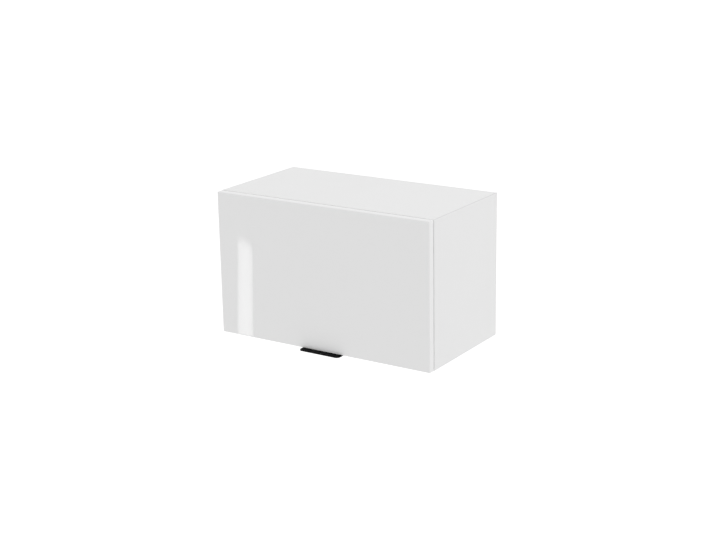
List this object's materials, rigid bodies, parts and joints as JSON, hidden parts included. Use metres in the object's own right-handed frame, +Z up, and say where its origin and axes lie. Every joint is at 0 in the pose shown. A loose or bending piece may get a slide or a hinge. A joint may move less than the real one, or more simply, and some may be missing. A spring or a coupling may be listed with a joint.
{
  "type": "wall cabinet",
  "caption": "Wall-hung cabinet with a lift-up gloss white door on cup hinges and lift stays, and a black edge pull under the door.",
  "frame": {"origin": "on the wall plane, midway between the wall rail's two screw slots", "axes": "+X to the right seen from the front, +Y into the wall, +Z up; the door faces -Y"},
  "size_m": [0.6, 0.3375, 0.3624],
  "materials": {
    "white_board": "satin white melamine on chipboard",
    "edge_band": "satin white plastic band",
    "white_hardboard": "white lacquered hardboard",
    "gloss_front": "high gloss white foil on fibreboard",
    "black_metal": "satin black",
    "beech": "bare fluted beech",
    "zinc_steel": "zinc plated",
    "nickel_steel": "nickel plated",
    "screw_steel": "nickel plated",
    "spring_steel": "oiled spring steel",
    "grey_plastic": "moulded light grey",
    "white_plastic": "moulded white",
    "clear_rubber": "soft translucent"
  },
  "bodies": {
    "carcass": {"side_panel_left": "white_board", "side_panel_right": "white_board", "top_panel": "white_board", "bottom_panel": "white_board", "edge_band_left": "edge_band", "edge_band_right": "edge_band", "edge_band_top": "edge_band", "edge_band_bottom": "edge_band", "back_panel": "white_hardboard", "dowels": "beech", "wall_rail": "zinc_steel", "hanger_hook_left": "zinc_steel", "hanger_hook_right": "zinc_steel", "cam_bolts": "zinc_steel", "cam_locks": "zinc_steel", "hinge_arm_left": "nickel_steel", "hinge_arm_right": "nickel_steel", "hinge_plate_left": "nickel_steel", "hinge_plate_right": "nickel_steel", "hanger_screws": "screw_steel", "hinge_plate_screws": "screw_steel", "hinge_arm_screws": "screw_steel", "lift_screws": "screw_steel", "lift_spring_left": "spring_steel", "lift_spring_right": "spring_steel", "lift_housing_left": "grey_plastic", "lift_housing_right": "grey_plastic", "lift_cover_left": "grey_plastic", "lift_cover_right": "grey_plastic", "hanger_body_left": "white_plastic", "hanger_body_right": "white_plastic", "hanger_cover_left": "white_plastic", "hanger_cover_right": "white_plastic", "cam_covers": "white_plastic"},
    "door": {"door_panel": "gloss_front", "door_bumpers": "clear_rubber", "edge_pull": "black_metal", "edge_pull_screws": "screw_steel", "hinge_cup_left": "nickel_steel", "hinge_cup_right": "nickel_steel", "hinge_axles": "nickel_steel", "hinge_cup_screws": "screw_steel", "door_bracket_left": "nickel_steel", "door_bracket_right": "nickel_steel", "bracket_screws": "screw_steel", "bracket_pins": "nickel_steel"},
    "lift_levers": {"lift_lever_left": "nickel_steel", "lift_lever_right": "nickel_steel", "lift_axles": "nickel_steel", "elbow_pins": "nickel_steel"},
    "lift_links": {"lift_link_left": "nickel_steel", "lift_link_right": "nickel_steel"}
  },
  "joints": [
    {"name": "door_lift", "type": "hinge", "parent": "carcass", "child": "door", "pos_m": [0, -0.3137, 0.0408], "axis": [-1, 0, 0], "range_deg": [0, 90]},
    {"name": "lever_swing", "type": "hinge", "parent": "carcass", "child": "lift_levers", "pos_m": [0, -0.22625, 0.00368], "axis": [-1, 0, 0], "range_deg": [0, 90]},
    {"name": "link_swing", "type": "hinge", "parent": "lift_levers", "child": "lift_links", "pos_m": [0, -0.20085, -0.0982], "axis": [-1, 0, 0], "range_deg": [-90, 0]}
  ],
  "couplings": [
    {"joint": "lever_swing", "follows": "door_lift", "ratio": 1},
    {"joint": "link_swing", "follows": "door_lift", "ratio": -1}
  ]
}
